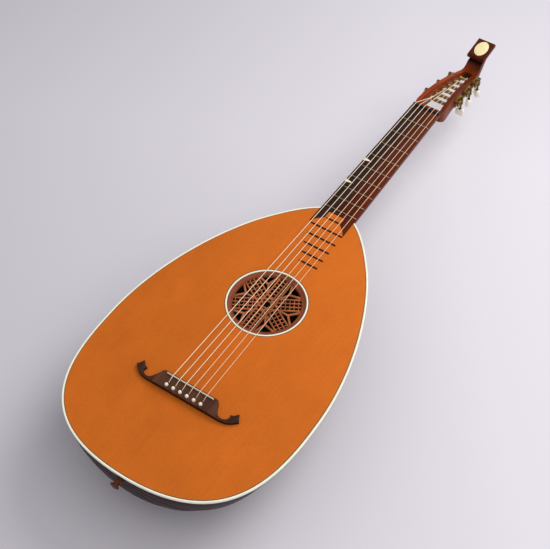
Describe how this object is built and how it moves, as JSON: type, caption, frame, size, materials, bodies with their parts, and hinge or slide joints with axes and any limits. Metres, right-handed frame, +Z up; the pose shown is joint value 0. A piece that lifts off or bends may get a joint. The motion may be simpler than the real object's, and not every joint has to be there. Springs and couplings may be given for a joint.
{
  "type": "lute guitar",
  "caption": "Bowl-backed plucked instrument with a guitar neck, carved rose, moustache bridge and sickle-shaped pegbox with worm-geared tuners",
  "frame": {"origin": "Centre of the bounding box in X and Y, at its lowest point in Z: the instrument lies on the flat of its middle rib with its soundboard up.", "axes": "Right-handed, +Z up. +Y runs along the strings from the tail to the head, +Z points out of the soundboard, and +X is the treble side, where the thinnest string lies."},
  "size_m": [0.3318, 0.9888, 0.1396],
  "materials": {
    "soundboard_spruce": "orange varnish over straight spruce grain",
    "cream_inlay": "pale maple, varnished",
    "dark_rib_wood": "dark brown ribs with a soft sheen",
    "inner_wood": "bare spruce",
    "rose_wood": "pierced and carved, matt varnish",
    "bridge_wood": "dark rosewood, satin",
    "fingerboard_wood": "dark rosewood with metal frets",
    "black_nut": "ebony, polished",
    "red_brown_wood": "red-brown gloss varnish",
    "turned_wood": "turned and polished",
    "string_nylon": "clear cream nylon",
    "tuner_button": "cream buttons on brass worms",
    "brass": "aged brass",
    "bone": "polished bone"
  },
  "bodies": {
    "instrument": {"soundboard": "soundboard_spruce", "edge_binding": "cream_inlay", "bowl_rib_1": "dark_rib_wood", "bowl_rib_2": "dark_rib_wood", "bowl_rib_3": "dark_rib_wood", "bowl_rib_4": "dark_rib_wood", "bowl_rib_5": "dark_rib_wood", "bowl_rib_6": "dark_rib_wood", "bowl_rib_7": "dark_rib_wood", "bowl_rib_8": "dark_rib_wood", "bowl_rib_9": "dark_rib_wood", "end_clasp": "dark_rib_wood", "tail_block": "inner_wood", "neck_block": "inner_wood", "brace_1": "inner_wood", "brace_2": "inner_wood", "brace_3": "inner_wood", "rose": "rose_wood", "rose_ring": "cream_inlay", "bridge": "bridge_wood", "saddle": "bone", "fingerboard": "fingerboard_wood", "neck": "red_brown_wood", "nut": "black_nut", "position_marker_5": "bone", "position_marker_7": "bone", "pegbox": "red_brown_wood", "end_button": "turned_wood", "head_tablet": "red_brown_wood", "medallion": "bone", "tuner_plate_1": "brass", "tuner_plate_2": "brass", "tuner_plate_3": "brass", "tuner_plate_4": "brass", "tuner_plate_5": "brass", "tuner_plate_6": "brass", "bridge_pin_1": "bone", "string_1": "string_nylon", "bridge_pin_2": "bone", "string_2": "string_nylon", "bridge_pin_3": "bone", "string_3": "string_nylon", "bridge_pin_4": "bone", "string_4": "string_nylon", "bridge_pin_5": "bone", "string_5": "string_nylon", "bridge_pin_6": "bone", "string_6": "string_nylon"},
    "roller_1": {"roller_1": "brass"},
    "worm_1": {"worm_1": "tuner_button"},
    "roller_2": {"roller_2": "brass"},
    "worm_2": {"worm_2": "tuner_button"},
    "roller_3": {"roller_3": "brass"},
    "worm_3": {"worm_3": "tuner_button"},
    "roller_4": {"roller_4": "brass"},
    "worm_4": {"worm_4": "tuner_button"},
    "roller_5": {"roller_5": "brass"},
    "worm_5": {"worm_5": "tuner_button"},
    "roller_6": {"roller_6": "brass"},
    "worm_6": {"worm_6": "tuner_button"}
  },
  "joints": [
    {"name": "roller_spin_1", "type": "hinge", "parent": "instrument", "child": "roller_1", "pos_m": [0, 0.33075, 0.10716], "axis": [1, 0, 0], "continuous": true},
    {"name": "worm_turn_1", "type": "hinge", "parent": "instrument", "child": "worm_1", "pos_m": [-0.02817, 0.33904, 0.10673], "axis": [0, -0.0523, -0.9986], "continuous": true},
    {"name": "roller_spin_2", "type": "hinge", "parent": "instrument", "child": "roller_2", "pos_m": [0, 0.34895, 0.10246], "axis": [1, 0, 0], "continuous": true},
    {"name": "worm_turn_2", "type": "hinge", "parent": "instrument", "child": "worm_2", "pos_m": [0.02685, 0.35724, 0.10203], "axis": [0, -0.0523, -0.9986], "continuous": true},
    {"name": "roller_spin_3", "type": "hinge", "parent": "instrument", "child": "roller_3", "pos_m": [0, 0.36715, 0.09776], "axis": [1, 0, 0], "continuous": true},
    {"name": "worm_turn_3", "type": "hinge", "parent": "instrument", "child": "worm_3", "pos_m": [-0.02552, 0.37544, 0.09733], "axis": [0, -0.0523, -0.9986], "continuous": true},
    {"name": "roller_spin_4", "type": "hinge", "parent": "instrument", "child": "roller_4", "pos_m": [0, 0.38535, 0.09306], "axis": [1, 0, 0], "continuous": true},
    {"name": "worm_turn_4", "type": "hinge", "parent": "instrument", "child": "worm_4", "pos_m": [0.0242, 0.39364, 0.09263], "axis": [0, -0.0523, -0.9986], "continuous": true},
    {"name": "roller_spin_5", "type": "hinge", "parent": "instrument", "child": "roller_5", "pos_m": [0, 0.40355, 0.08836], "axis": [1, 0, 0], "continuous": true},
    {"name": "worm_turn_5", "type": "hinge", "parent": "instrument", "child": "worm_5", "pos_m": [-0.02287, 0.41184, 0.08793], "axis": [0, -0.0523, -0.9986], "continuous": true},
    {"name": "roller_spin_6", "type": "hinge", "parent": "instrument", "child": "roller_6", "pos_m": [0, 0.42175, 0.08366], "axis": [1, 0, 0], "continuous": true},
    {"name": "worm_turn_6", "type": "hinge", "parent": "instrument", "child": "worm_6", "pos_m": [0.02155, 0.43004, 0.08323], "axis": [0, -0.0523, -0.9986], "continuous": true}
  ],
  "couplings": [
    {"joint": "roller_spin_1", "follows": "worm_turn_1", "ratio": 0.071429},
    {"joint": "roller_spin_2", "follows": "worm_turn_2", "ratio": 0.071429},
    {"joint": "roller_spin_3", "follows": "worm_turn_3", "ratio": 0.071429},
    {"joint": "roller_spin_4", "follows": "worm_turn_4", "ratio": 0.071429},
    {"joint": "roller_spin_5", "follows": "worm_turn_5", "ratio": 0.071429},
    {"joint": "roller_spin_6", "follows": "worm_turn_6", "ratio": 0.071429}
  ]
}
